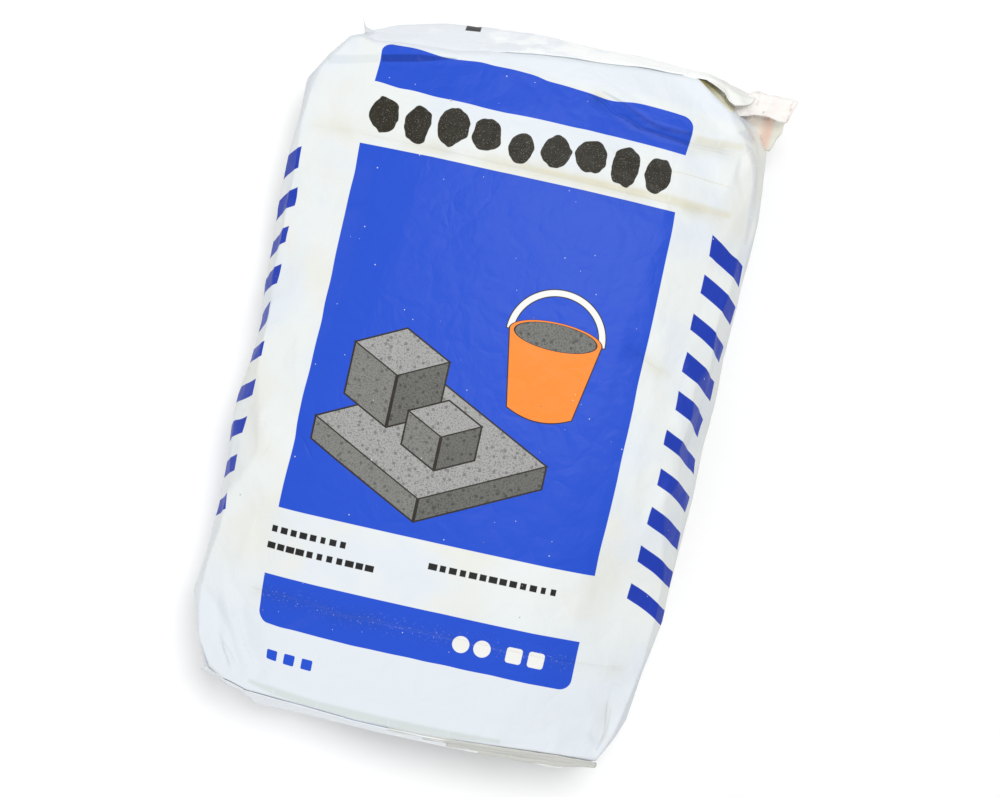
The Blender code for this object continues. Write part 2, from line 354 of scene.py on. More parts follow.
# Loose paper at the ends, each given by its long edges: (x, y, height) in millimetres. Each point
# keeps what kind of paper it is: 0 for a patch, 1 for a flap or a tip, 2 for a ply. The seed keeps
# the crumple of loose paper and of the sleeve the same in each run.
CRUMPLE_SEED = 11
LOOSE_KIND = 1.0
PLY_KIND = 2.0
VALVE_FLAP = (
    ((83, 227.0, 76.5), (91, 229.0, 78.9), (97, 230.2, 79.6), (104.3, 230.3, 79.5),
     (109.4, 227.4, 79.5), (116.6, 224.3, 79), (121, 219.5, 78), (124.5, 217.8, 77.5),
     (131, 219.2, 77), (135, 222, 76)),
    ((83, 229.2, 75.5), (91, 231.0, 78.0), (97, 232.0, 78.7), (104, 232.6, 78.5), (112, 231.6, 78),
     (120, 228.6, 77.5), (128, 226, 77), (137, 226, 76)),
    ((83, 232.4, 66.5), (91, 234.8, 68.8), (97, 235.8, 69.6), (104, 236.4, 70), (112, 235.2, 70),
     (120.5, 232.2, 69), (129, 229.6, 69), (138, 228.6, 70)),
    ((83, 235.4, 51), (91, 238.0, 52.8), (97, 239.2, 53.6), (105, 239.2, 55), (113, 237.2, 57),
     (121, 234, 60), (130, 231, 62), (139, 229, 64)),
)
TORN_TIP = (
    ((-122.8, 211.5, 77), (-120.8, 212.5, 77), (-117.5, 213.5, 76)),
    ((-125.3, 219.5, 84), (-123, 215.5, 81), (-118.5, 215, 78)),
)
LOWER_TIP = (
    ((-138, -219, 67), (-129, -222.5, 69), (-117, -223.5, 71)),
    ((-140.5, -222.5, 63), (-130, -226, 62), (-113, -226, 62)),
)
PLY_STRIPS = (
    ((-10, -229.9, 81), (30, -229, 81.5), (66, -226.9, 81), (102, -224.6, 79.5), (129.6, -224.5, 76)),
    ((14, -231, 78.5), (66, -228.9, 78.2), (102, -226.8, 77), (129.8, -225.7, 74.8)),
    ((30, -232.6, 76), (66, -230.7, 75.6), (102, -228.8, 74.6), (129.8, -226.7, 73.8)),
    ((52, -233.8, 73.5), (80, -232.3, 73.4), (104, -230.8, 72.4), (129.6, -227.5, 72.8)),
)
PLY_FALL = (0.0, -2.8, -3.2)
PLY_END_SHARE = 0.3  # of that fall, at the right end, where the plies run to a point

# Painted shade along the pleats and folds of the folded sack: darker stripes, a lilac-grey band along the
# crumpled rim and a soft patch. The yellowish group is partly stain and partly painted shade. Each group
# has a tint, a strength, the width of its soft edge and runs of (x, y, half width) in millimetres.
SHADE_AND_STAIN_STRIPES = (
    ((0.36, 0.48, 0.54, 1.0), 0.80, 0.5, (((-108.2, 197.8, 2.3), (-84.5, 202.6, 2.4), (-60, 207.4, 0.2)),)),
    ((0.36, 0.48, 0.54, 1.0), 0.14, 0.8, (
        ((-143, 190.2, 2.9), (-110, 197.4, 2.6)),
        ((46, 200.5, 1.5), (66, 192.6, 3.2), (84, 189.2, 2.8), (101, 189.3, 3.4)),
    )),
    ((0.30, 0.40, 0.50, 1.0), 0.42, 1.0, (
        ((38, 207, 0.1), (52, 202.5, 1.0), (66, 196.2, 1.0), (79, 191.8, 1.1), (101, 192.6, 1.4)),
        ((50, 194.5, 0.2), (66, 189, 0.8), (84, 187.3, 0.9), (101, 186, 1.2)),
    )),
    ((0.95, 0.90, 0.76, 1.0), 0.75, 1.6, (
        ((104, 190.2, 2.2), (120, 190.8, 2.6), (136, 192.6, 1.8)),
        ((-4, 146.5, 0.6), (60, 146.5, 1.8), (95, 147, 3.0), (138, 146.5, 2.0)),
    )),
    ((0.83, 0.84, 0.78, 1.0), 0.75, 1.4, (
        ((-106, -220.5, 0.8), (-88, -223, 2.4), (-58, -225.4, 2.6), (-10, -226.2, 2.8), (30, -225.6, 2.6),
         (64, -223.2, 1.2)),
    )),
    ((0.76, 0.76, 0.83, 1.0), 0.50, 1.3, (
        ((131, 201, 0.6), (137, 201.5, 3.8), (143.5, 200, 2.8)),
        ((138, 195, 0.6), (142, 191, 2.4), (147.5, 183.5, 2.0), (151, 168, 1.8), (152.5, 150, 2.2),
         (153, 132, 0.8)),
        ((-152, 182, 0.4), (-155, 165, 0.9), (-157, 140, 0.9), (-156, 110, 0.2)),
    )),
    ((0.42, 0.48, 0.55, 1.0), 0.30, 1.0, (
        ((131, -188, 0.1), (131.8, -196, 0.3), (131.5, -203, 0.5), (129.5, -211, 0.6),
         (127.5, -216.5, 0.6)),
    )),
    ((0.60, 0.66, 0.72, 1.0), 0.30, 4.0, (((121, -207, 0.5), (126, -213, 1.5)),)),
)

# The mix, in metres: how far it lies inside the paper and over the floor, and the height below
# which it is drawn in, up to a share at the floor.
MIX_INSET = 0.003
MIX_FLOOR = 0.004
MIX_LOW = 0.044
MIX_LOW_PULL = 0.085

# The valve sleeve: its folded section as (y, height), and where it starts and ends along x.
SLEEVE_SECTION = (
    (216.0, 69.5), (221.0, 72.5), (226.0, 75.5), (229.0, 76.5), (230.5, 75.0), (229.0, 71.5), (224.0, 66.0),
    (218.0, 60.0), (211.0, 53.0), (205.0, 47.0), (200.0, 42.5),
)
SLEEVE_ROOT = 112.0
SLEEVE_EXIT = 137.0
SLEEVE_SINK = 13.0  # how much lower it lies where it starts
SLEEVE_CELLS = (44, 60)
SLEEVE_MOUTH = (162.5, 163.6, 164.2, 164.6, 164.4, 163.6, 162.4, 162.0, 161.2, 159.8, 158.0)
SLEEVE_THICKNESS = 0.0004


class Socket:
    """A value, vector or colour in a material. Calls and arithmetic on it add the nodes they need."""

    def __init__(self, tree, output):
        self.tree = tree
        self.output = output

    def node(self, kind, inputs, output=0, **settings):
        return add_node(self.tree, kind, inputs, output, **settings)

    def math(self, operation, *others):
        return self.node("Math", dict(enumerate((self, *others))), operation=operation)

    def __add__(self, other):
        return self.math("ADD", other)

    def __sub__(self, other):
        return self.math("SUBTRACT", other)

    def __rsub__(self, other):
        return self.math("MULTIPLY_ADD", -1.0, other)

    def __mul__(self, other):
        return self.math("MULTIPLY", other)

    def __truediv__(self, other):
        return self.math("DIVIDE", other)

    def __abs__(self):
        return self.math("ABSOLUTE")

    def at_least(self, *others):
        """The largest of this and the others."""
        largest = self
        for other in others:
            largest = largest.math("MAXIMUM", other)
        return largest

    def at_most(self, *others):
        """The smallest of this and the others."""
        smallest = self
        for other in others:
            smallest = smallest.math("MINIMUM", other)
        return smallest

    def past(self, middle, half):
        """How far this lies past half on either side of the middle."""
        return abs(self - middle) - half

    def repeat(self, pitch):
        """The number of the cell that this falls in, and how far it lies from the cell's middle."""
        share = self / pitch
        return share.math("FLOOR"), (share.math("FRACT") - 0.5) * pitch

    def ramp(self, low, high, to_low=0.0, to_high=1.0):
        values = (self, low, high, to_low, to_high)
        return self.node("MapRange", dict(enumerate(values)), interpolation_type="SMOOTHSTEP")

    def inside(self, edge=0.15):
        """1 where this signed distance is below 0, with a soft edge that wide on each side."""
        return self.ramp(-edge, edge, 1.0, 0.0)

    def mix(self, below, above, blend="MIX"):
        """Colour above laid over colour below where this is 1."""
        inputs = {"Factor": self, 6: below, 7: above}
        return self.node("Mix", inputs, 2, data_type="RGBA", blend_type=blend)

    def split(self):
        """This vector's three numbers."""
        parts = self.node("SeparateXYZ", {0: self}).output.node.outputs
        return [Socket(self.tree, part) for part in parts]

    def join(self, other):
        """The flat vector of this and another number."""
        return self.node("CombineXYZ", {0: self, 1: other})

    def hypot(self, other):
        """The length of the flat vector of this and another number."""
        flat = self.join(other)
        return flat.node("VectorMath", {0: flat}, "Value", operation="LENGTH")

    def vector(self, operation, other, output="Vector"):
        return self.node("VectorMath", {0: self, 1: other}, output, operation=operation)

    def noise(self, scale, detail=2.0, roughness=0.5, output=0):
        inputs = {"Vector": self, "Scale": scale, "Detail": detail, "Roughness": roughness}
        return self.node("TexNoise", inputs, output)

    def cells(self, scale, output="Distance", feature="F1", dimensions="3D"):
        settings = {"feature": feature, "voronoi_dimensions": dimensions}
        return self.node("TexVoronoi", {"Vector": self, "Scale": scale}, output, **settings)

    def random(self):
        return self.node("TexWhiteNoise", {"W": self}, "Value", noise_dimensions="1D")

    def bump(self, distance, strength, normal=None):
        inputs = {"Height": self, "Distance": distance, "Strength": strength, "Normal": normal}
        return self.node("Bump", inputs)


def set_inputs(tree, node, inputs):
    """Links or sets inputs of a node, each given by its name or number."""
    for name, value in inputs.items():
        if isinstance(value, Socket):
            tree.links.new(value.output, node.inputs[name])
        elif value is not None:
            node.inputs[name].default_value = value


def add_node(tree, kind, inputs, output=0, **settings):
    """Adds a node and returns one of its outputs."""
    node = tree.nodes.new("ShaderNode" + kind)
    for name, value in settings.items():
        setattr(node, name, value)
    set_inputs(tree, node, inputs)
    return Socket(tree, node.outputs[output])


def new_material(name):
    material = bpy.data.materials.new(name)
    material.use_nodes = True
    return material


def attribute(material, name):
    """The vector that each point of the mesh keeps under that name."""
    return add_node(material.node_tree, "Attribute", {}, "Vector", attribute_name=name)


def finish_material(material, inputs):
    """Sets the surface's own inputs, each by its name, and returns the material."""
    tree = material.node_tree
    set_inputs(tree, tree.nodes["Principled BSDF"], inputs)
    return material


def filled_form(point):
    """Moves a point of the unit cage to the smooth filled form, and returns where that is."""
    across, along, up = point
    inset = 1 - FACE_INSET * up**2
    width, length, height = FORM_SIZE
    crown = 1 - CROWN_ACROSS * across**2 - CROWN_ALONG * along**4
    x = across * width / 2 * (1 - END_TAPER * along**4) * inset
    y = along * length / 2 * (1 - CORNER_PULL * across**2) * inset
    z = (up + 1) / 2 * height * crown
    return Vector((x, y, z))


def cage_mesh(rows):
    """A closed block of one face for each gap between the rows, on all six sides."""
    cage = bmesh.new()
    corners = {}
    counts = [len(row) for row in rows]

    def corner(index):
        if index not in corners:
            corners[index] = cage.verts.new(filled_form([rows[k][index[k]] for k in range(3)]))
        return corners[index]

    for axis in range(3):
        first, second = (axis + 1) % 3, (axis + 2) % 3
        for side in (0, counts[axis] - 1):
            for i in range(counts[first] - 1):
                for j in range(counts[second] - 1):
                    loop = []
                    for step_i, step_j in ((0, 0), (1, 0), (1, 1), (0, 1)):
                        index = [0, 0, 0]
                        index[axis] = side
                        index[first] = i + step_i
                        index[second] = j + step_j
                        loop.append(corner(tuple(index)))
                    if side == 0:
                        loop.reverse()
                    cage.faces.new(loop)
    mesh = bpy.data.meshes.new("form_cage")
    cage.to_mesh(mesh)
    cage.free()
    return mesh


def new_object(name, mesh):
    obj = bpy.data.objects.new(name, mesh)
    bpy.context.scene.collection.objects.link(obj)
    return obj


def apply_modifiers(obj):
    """Replaces the object's mesh by what its modifiers make of it."""
    graph = bpy.context.evaluated_depsgraph_get()
    mesh = bpy.data.meshes.new_from_object(obj.evaluated_get(graph))
    obj.modifiers.clear()
    obj.data = mesh


def subdivide(obj, levels):
    smooth = obj.modifiers.new("smooth", "SUBSURF")
    smooth.levels = levels
    smooth.render_levels = levels
    apply_modifiers(obj)


def read_rows(items, name):
    """A vector of each item as rows of an array."""
    flat = np.empty(len(items) * 3)
    items.foreach_get(name, flat)
    return flat.reshape(-1, 3)


def places(mesh):
    return read_rows(mesh.vertices, "co")


def rest_places(mesh):
    return read_rows(mesh.attributes["rest_place"].data, "vector")


def set_places(mesh, points):
    mesh.vertices.foreach_set("co", points.reshape(-1))
    mesh.update()


def keep_vector(mesh, name, rows):
    """Keeps a row of three numbers for each point of the mesh, for shaders to read."""
    layer = mesh.attributes.new(name, "FLOAT_VECTOR", "POINT")
    layer.data.foreach_set("vector", np.asarray(rows, dtype=float).reshape(-1))


def fit_to_size(mesh):
    """Scales the smoothed form to its overall sizes and sets its underside on the floor."""
    points = places(mesh)
    low, high = points.min(axis=0), points.max(axis=0)
    share = (points - low) / (high - low)
    middle = np.array((0.5, 0.5, 0.0))
    set_places(mesh, (share - middle) * np.array(FORM_SIZE))


def roughen(mesh):
    """Moves points a little along their normals, so that the cloth doesn't buckle evenly."""
    form = places(mesh)
    heights = np.array([noise.noise(Vector(point) * UNEVEN_SCALE) for point in form])
    moved = form + read_rows(mesh.vertices, "normal") * (heights * UNEVEN_HEIGHT)[:, None]
    moved[:, 2] = np.maximum(moved[:, 2], 0)
    set_places(mesh, moved)


def add_cloth(sack, seat):
    """Stiff cloth with pressure inside and spare paper, held where the sack stands on the floor."""
    held = sack.vertex_groups.new(name="seat")
    held.add(seat, 1.0, "REPLACE")
    cloth = sack.modifiers.new("inflate", "CLOTH")
    for name, value in CLOTH_SETTINGS.items():
        setattr(cloth.settings, name, value)
    cloth.settings.vertex_group_mass = held.name
    cloth.settings.effector_weights.gravity = 0
    cloth.collision_settings.use_collision = False
    cloth.collision_settings.use_self_collision = False
    cloth.point_cache.frame_start = 1
    cloth.point_cache.frame_end = CLOTH_FRAMES


def inflate(sack):
    """Runs the cloth, and moves each point of the form to where the cloth takes it, up to the cap."""
    form = places(sack.data)
    roughen(sack.data)
    seat = np.flatnonzero(form[:, 2] < MM).tolist()
    add_cloth(sack, seat)
    for frame in range(1, CLOTH_FRAMES + 1):
        bpy.context.scene.frame_set(frame)
    apply_modifiers(sack)
    sack.vertex_groups.clear()
    moves = places(sack.data) - form
    lengths = np.linalg.norm(moves, axis=1, keepdims=True) + 1e-9
    capped = form + moves * (MOVE_CAP * np.tanh(lengths / MOVE_CAP) / lengths)
    capped[:, 2] = np.maximum(capped[:, 2], 0)
    set_places(sack.data, capped)


def surface_tree(mesh):
    return BVHTree.FromPolygons([v.co / MM for v in mesh.vertices], [p.vertices for p in mesh.polygons])


def on_form(tree, x, y, out=0.0):
    """The point of the form's upper side at x and y, moved out of the surface."""
    place, normal, _, _ = tree.ray_cast(Vector((x, y, 200.0)), Vector((0, 0, -1)))
    return place + normal * out


def net_rings(tree):
    """The rings of the net from the rim of the front down to the floor."""
    shuffle = random.Random(NET_SEED)
    rim = []
    for x, y, *height in RIM:
        rim.append(Vector((x, y, *height)) if height else on_form(tree, x, y, RIM_OUT))
    outline = [Vector((x, y, OUTLINE_HEIGHT + shuffle.uniform(*OUTLINE_UNEVEN))) for x, y in OUTLINE]
    middle = []
    for place in outline:
        near = min(rim, key=lambda other: (other - place).length)
        shift = Vector((shuffle.uniform(*MIDDLE_UNEVEN), shuffle.uniform(*MIDDLE_UNEVEN), 0))
        half = (place + near) / 2 + shift
        out = Vector((half.x / 160, half.y / 240, 0.5)).normalized() * shuffle.uniform(*MIDDLE_OUT)
        middle.append(half + out)
    low, foot = [], []
    for x, y in OUTLINE:
        low_x = x * shuffle.uniform(*LOW_SHARE_X)
        low.append(Vector((low_x, y * LOW_SHARE_Y, shuffle.uniform(*LOW_HEIGHT))))
        foot.append(Vector((x * FLOOR_SHARE[0], y * FLOOR_SHARE[1], 0)))
    return rim, middle, outline, low, foot


def net_points(rings, tree, folds):
    """All points of the net, and its edges that must stay, as pairs of numbers."""
    points, edges = [], []

    def add_run(run, closed):
        first = len(points)
        points.extend(run)
        last = len(points) - 1
        edges.extend((k, k + 1) for k in range(first, last))
        if closed:
            edges.append((last, first))

    for ring in rings:
        add_run(ring, True)
    for fold in folds:
        add_run([on_form(tree, x, y, out) for x, y, out in fold], False)
    if folds:
        for run in (VALVE_GAP, CORNER_RIDGE, CORNER_HOLLOW):
            add_run([Vector(place) for place in run], False)
    for x in NET_GRID[0]:
        for y in NET_GRID[1]:
            add_run([on_form(tree, x + 0.1 * y, y - 0.2 * x)], False)
    return points, edges


def build_net(rings, tree, folds):
    """The net as a closed sheet of triangles, joined up as seen from the net's centre."""
    centre = Vector(NET_CENTRE)
    points, edges = net_points(rings, tree, folds)
    flat = [Vector((p.x, p.y)) / (p.z - centre.z) for p in points]
    seen, _, triangles, source, _, _ = delaunay_2d_cdt(flat, edges, [], 0, 1e-5)
    corners = []
    for place, origins in zip(seen, source):
        if origins:
            corners.append(points[origins[0]])
            continue
        way = Vector((place.x, place.y, 1.0)).normalized()
        corners.append(tree.ray_cast(centre, way)[0])
    return BVHTree.FromPolygons(corners, triangles)


def net_weight(rest):
    """How strongly each point is drawn to the net, from the middle of the front to its edges."""
    edge = (np.abs(rest[:, :2]) - NET_CALM).max(axis=1) / NET_FADE
    weight = NET_WEIGHT_FRONT + (NET_WEIGHT_EDGE - NET_WEIGHT_FRONT) * np.clip(edge, 0, 1)
    return weight * np.clip((rest[:, 2] - NET_FLOOR[0]) / NET_FLOOR[1], 0, 1)


def press_to_net(mesh, net, weights):
    """Moves each point by its weight towards the net, along the ray from the net's centre."""
    points = places(mesh) / MM
    centre = Vector(NET_CENTRE)
    for number in np.flatnonzero(weights > 0):
        place = Vector(points[number])
        hit = net.ray_cast(centre, (place - centre).normalized())[0]
        if hit is not None:
            points[number] = place.lerp(hit, weights[number])
    points[:, 2] = np.maximum(points[:, 2], 0)
    set_places(mesh, points * MM)


def round_run(angles, radii, bins=240):
    """The largest radius in each of that many directions, as a closed run that np.interp can read."""
    numbers = np.floor((angles + math.pi) / (2 * math.pi) * bins).astype(int) % bins
    largest = np.zeros(bins)
    np.maximum.at(largest, numbers, radii)
    filled = np.flatnonzero(largest)
    spots = (filled + 0.5) / bins * 2 * math.pi - math.pi
    spots = np.concatenate((spots - 2 * math.pi, spots, spots + 2 * math.pi))
    return spots, np.tile(largest[filled], 3)


def tuck_foot(points):
    """Draws the paper near the floor in to the outline of the folded sack, in mm."""
    x, y, z = points.T
    angles, radii = np.arctan2(y, x), np.hypot(x, y)
    corners = []
    for start, end in zip(OUTLINE, OUTLINE[1:] + OUTLINE[:1]):
        steps = np.linspace(0, 1, 12)[:, None]
        corners.append(np.array(start) * (1 - steps) + np.array(end) * steps)
    edge_x, edge_y = np.vstack(corners).T
    outline = np.interp(angles, *round_run(np.arctan2(edge_y, edge_x), np.hypot(edge_x, edge_y)))
    limit = outline * (FOOT_SHARE + FOOT_FLARE * np.clip(z / FOOT_HEIGHT, 0, 1))
    under = z < FOOT_UNDER
    widest = np.interp(angles, *round_run(angles[under], radii[under]))
    walled = np.minimum(radii, limit)
    walled = radii + (walled - radii) * np.clip((FOOT_HEIGHT - z) / FOOT_BLEND, 0, 1)
    drawn = np.clip((radii / widest - FOOT_CALM) / (1 - FOOT_CALM), 0, 1)
    tucked = radii * (1 + (np.minimum(1, limit / widest) - 1) * drawn)
    share = np.where(under, tucked, walled) / np.maximum(radii, 1)
    points[:, 0] *= share
    points[:, 1] *= share
    return points


def fold_paper(sack):
    """Draws the inflated paper to the rim and outline first, and then to the folds of the front."""
    mesh = sack.data
    rest = rest_places(mesh)
    before = places(mesh) / MM
    tree = surface_tree(mesh)
    rings = net_rings(tree)
    weights = net_weight(rest)
    press_to_net(mesh, build_net(rings, tree, ()), weights)
    rest[:, :2] += (places(mesh) / MM - before)[:, :2]
    before = places(mesh) / MM
    near_fold = np.full(len(rest), 1e3)
    for fold in FOLDS:
        line = [point[:2] for point in fold]
        near_fold = np.minimum(near_fold, to_crease(rest[:, :2], line)[0])
    local = NET_WEIGHT_FOLD * np.exp(-(near_fold / NET_REACH) ** 2) * (rest[:, 2] > 30)
    press_to_net(mesh, build_net(rings, surface_tree(mesh), FOLDS), np.maximum(weights, local))
    after = tuck_foot(places(mesh) / MM)
    set_places(mesh, after * MM)
    rest[:, :2] += PRINT_STAYS * (after - before)[:, :2]
    mesh.attributes["rest_place"].data.foreach_set("vector", rest.reshape(-1))
    keep_vector(mesh, "folded_place", after)


def to_crease(flat, line):
    """Distance of each point to a crease, the side it lies on and how far it is from the ends."""
    best = np.full(len(flat), 1e3)
    side = np.zeros(len(flat))
    inner = np.zeros(len(flat))
    lengths = [math.dist(start, end) for start, end in zip(line[:-1], line[1:])]
    done, whole = 0.0, sum(lengths)
    for start, end, length in zip(line[:-1], line[1:], lengths):
        way = (np.array(end) - np.array(start)) / length
        offset = flat - np.array(start)
        along = offset @ way
        held = np.clip(along, 0, length)
        away = offset - held[:, None] * way
        distance = np.hypot(away[:, 0], away[:, 1])
        closer = distance < best
        best = np.where(closer, distance, best)
        cross = way[0] * offset[:, 1] - way[1] * offset[:, 0]
        side = np.where(closer, np.where(cross < 0, -1.0, 1.0), side)
        inner = np.where(closer, np.minimum(done + along, whole - done - along), inner)
        done += length
    return best, side, inner


def mark_creases(sack):
    """Keeps each point's distance to the nearest crease, with the strength of its line and of its stain and
    painted shade.
    """
    mesh = sack.data
    rest = rest_places(mesh)
    front = np.clip((rest[:, 2] - 35.0) / 20.0, 0, 1)
    nearest = np.full(len(rest), STAIN_AND_SHADE_REACH)
    marks = np.zeros((len(rest), 3))
    for line, strength, stain_and_shade in CREASES:
        distance, side, inner = to_crease(rest[:, :2], line)
        fade = np.clip(inner / LINE_ENDS, 0, 1) * front
        closer = distance < nearest
        nearest = np.where(closer, distance, nearest)
        line_fade = fade * np.clip((LINE_REACH - distance) / LINE_EDGE, 0, 1)
        marks[closer] = np.column_stack((distance * side, strength * line_fade, stain_and_shade * fade))[closer]
    keep_vector(mesh, "crease", marks)


def add_bake_map(mesh):
    """A map for baked colours: each side of the sack laid flat, with the front the largest."""
    rest = rest_places(mesh)
    loops = np.empty(len(mesh.loops), dtype=int)
    mesh.loops.foreach_get("vertex_index", loops)
    corners = rest[loops.reshape(-1, 4)]
    normals = np.cross(corners[:, 2] - corners[:, 0], corners[:, 3] - corners[:, 1])
    normals /= np.linalg.norm(normals, axis=1, keepdims=True) + 1e-9
    x, y, z = rest[loops].T
    normal_x, normal_y, normal_z = np.repeat(normals, 4, axis=0).T
    half_x, half_y = BAKE_HALF
    u, v = x + half_x, y + half_y
    under = normal_z < -0.5
    u = np.where(under, BAKE_COLUMN + BAKE_UNDER * (half_x - x), u)
    v = np.where(under, BAKE_UNDER * (y + half_y), v)
    wall = np.abs(normal_z) <= 0.5
    long_wall = np.abs(normal_x) > np.abs(normal_y)
    for number, (mask, along) in enumerate((
        (wall & long_wall & (normal_x > 0), y + half_y),
        (wall & long_wall & (normal_x <= 0), y + half_y),
        (wall & ~long_wall & (normal_y > 0), x + half_x),
        (wall & ~long_wall & (normal_y <= 0), x + half_x),
    )):
        u = np.where(mask, BAKE_COLUMN + number * BAKE_STRIP + BAKE_HEIGHT * z, u)
        v = np.where(mask, BAKE_ROW + BAKE_LENGTH * along, v)
    layer = mesh.uv_layers.new(name="OFBake")
    layer.data.foreach_set("uv", np.column_stack((u, v)).reshape(-1) / BAKE_SPAN)


def make_sack():
    sack = new_object("printed_sack", cage_mesh(CAGE_ROWS))
    subdivide(sack, FORM_LEVELS)
    fit_to_size(sack.data)
    keep_vector(sack.data, "rest_place", places(sack.data) / MM)
    inflate(sack)
    subdivide(sack, 1)
    fold_paper(sack)
    mark_creases(sack)
    add_bake_map(sack.data)
    sack.data.shade_smooth()
    return sack


def along_run(run, share):
    """The point that share of the way along a run of points."""
    spot = share * (len(run) - 1)
    number = min(int(spot), len(run) - 2)
    return Vector(run[number]).lerp(Vector(run[number + 1]), spot - number)


def sheet_mesh(rows):
    """A grid of faces over rows of points, in metres."""
    count = len(rows[0])
    points = [place * MM for row in rows for place in row]
    faces = []
    for i in range(len(rows) - 1):
        for j in range(count - 1):
            first = i * count + j
            faces.append((first, first + 1, first + count + 1, first + count))
    mesh = bpy.data.meshes.new("sheet")
    mesh.from_pydata(points, [], faces)
    return mesh


def make_sheet(name, rows, marks, thickness):
    """A sheet of paper over rows of points in mm, with a vector of marks kept for each point."""
    sheet = new_object(name, sheet_mesh(rows))
    keep_vector(sheet.data, "sheet_place", [mark for row in marks for mark in row])
    thick = sheet.modifiers.new("thick", "SOLIDIFY")
    thick.thickness = thickness
    thick.offset = 0
    apply_modifiers(sheet)
    sheet.data.shade_smooth()
    return sheet


def crumple(place, size, height):
    """A small vector of noise for a place in mm."""
    return noise.noise_vector(place / size) * height


def rim_at(side, x):
    """Height and distance along y of the rim of the front at that x, on one end."""
    ends = sorted(p for p in RIM if len(p) == 3 and p[1] * side > 195)
    across = [p[0] for p in ends]
    return np.interp(x, across, [p[1] for p in ends]), np.interp(x, across, [p[2] for p in ends])


def patch_rows(tree, side):
    """Rows of points of one end patch on the folded end of the sack, from below the rim down."""
    low, high = PATCH_REACH[side]
    depth, middle = PATCH_CENTRE
    across, up = PATCH_CELLS
    rows, marks = [], []
    for i in range(across + 1):
        x = low + (high - low) * i / across
        rim_y, rim_z = rim_at(side, x)
        wave = noise.noise(Vector((x / 18.0, side, 3.0)))
        tucked = np.clip((TUCK_START - x) / 12.0, 0, 1) if side == 1 else 0.0
        first = math.atan2(rim_z - PATCH_TOP + 1.5 * wave - middle, abs(rim_y) + 0.6 - depth)
        last = -math.atan2(middle - PATCH_FOOT - 3.0 * wave, 240.0 - depth)
        row, mark = [], []
        start = Vector((x, side * depth, middle))
        for j in range(up + 1):
            angle = first + (last - first) * j / up
            way = Vector((0, side * math.cos(angle), math.sin(angle)))
            place, normal, _, _ = tree.ray_cast(start, way)
            loose = noise.noise(Vector((x / 26.0, angle * 9.0, side * 2.0)))
            out = PATCH_STANDOFF + 0.5 * max(0.0, loose)
            out -= tucked * max(0.0, 1 - j / 3) * (out + PATCH_THICKNESS / MM)
            row.append(place + normal * out)
            mark.append((x + COVER_SHIFT[side], place.z, 0.0))
        rows.append(row)
        marks.append(mark)
    return rows, marks


def loose_rows(edges, count, steps, height, kind):
    """Rows of points of a loose piece of paper between its long edges, slightly crumpled."""
    rows, marks = [], []
    for i in range(count + 1):
        across = [along_run(edge, i / count) for edge in edges]
        row = []
        for j in range(steps + 1):
            place = along_run(across, j / steps)
            row.append(place + crumple(place, 9.0, height))
        rows.append(row)
        marks.append([(place.x, place.z, kind) for place in row])
    return rows, marks


def join_all(first, others):
    """Makes one object of several, as one mesh."""
    joined = bmesh.new()
    for obj in (first, *others):
        joined.from_mesh(obj.data)
    joined.to_mesh(first.data)
    joined.free()
    for obj in others:
        bpy.data.objects.remove(obj)
    first.data.shade_smooth()
    return first


def make_patches(tree):
    upper = make_sheet("valve_end_cover", *patch_rows(tree, 1), PATCH_THICKNESS)
    flap = make_sheet("flap", *loose_rows(VALVE_FLAP, 44, 24, 1.5, LOOSE_KIND), PATCH_THICKNESS)
    tip = make_sheet("tip", *loose_rows(TORN_TIP, 8, 6, 0.5, LOOSE_KIND), PATCH_THICKNESS)
    upper = join_all(upper, (flap, tip))
    lower = make_sheet("bottom_end_cover", *patch_rows(tree, -1), PATCH_THICKNESS)
    extras = [make_sheet("tip", *loose_rows(LOWER_TIP, 10, 4, 0.5, LOOSE_KIND), PATCH_THICKNESS)]
    for upper_edge in PLY_STRIPS:
        lower_edge = [Vector(place) + Vector(PLY_FALL) for place in upper_edge]
        lower_edge[-1] = Vector(upper_edge[-1]) + Vector(PLY_FALL) * PLY_END_SHARE
        rows = loose_rows((upper_edge, lower_edge), 50, 4, 0.5, PLY_KIND)
        extras.append(make_sheet("ply", *rows, PATCH_THICKNESS))
    return upper, join_all(lower, extras)


def make_sleeve():
    """The flattened valve tube, torn open along its upper side, so that its lower leaf shows."""
    rows, marks = [], []
    across, around = SLEEVE_CELLS
    for i in range(across + 1):
        share = i / across
        row, mark = [], []
        for j in range(around + 1):
            turn = j / around
            y, z, _ = along_run([(*point, 0) for point in SLEEVE_SECTION], turn)
            mouth = np.interp(turn, np.linspace(0, 1, len(SLEEVE_MOUTH)), SLEEVE_MOUTH)
            x = SLEEVE_ROOT + (mouth - SLEEVE_ROOT) * share
            sunk = SLEEVE_SINK * max(0.0, (SLEEVE_EXIT - x) / (SLEEVE_EXIT - SLEEVE_ROOT)) ** 0.8
            place = Vector((x, y - 0.4 * sunk, z - sunk))
            row.append(place + crumple(place, 11.0, 2.2 * min(1.0, 0.4 + share)))
            mark.append((x, turn, share))
        rows.append(row)
        marks.append(mark)
    return make_sheet("crumpled_sleeve", rows, marks, SLEEVE_THICKNESS)


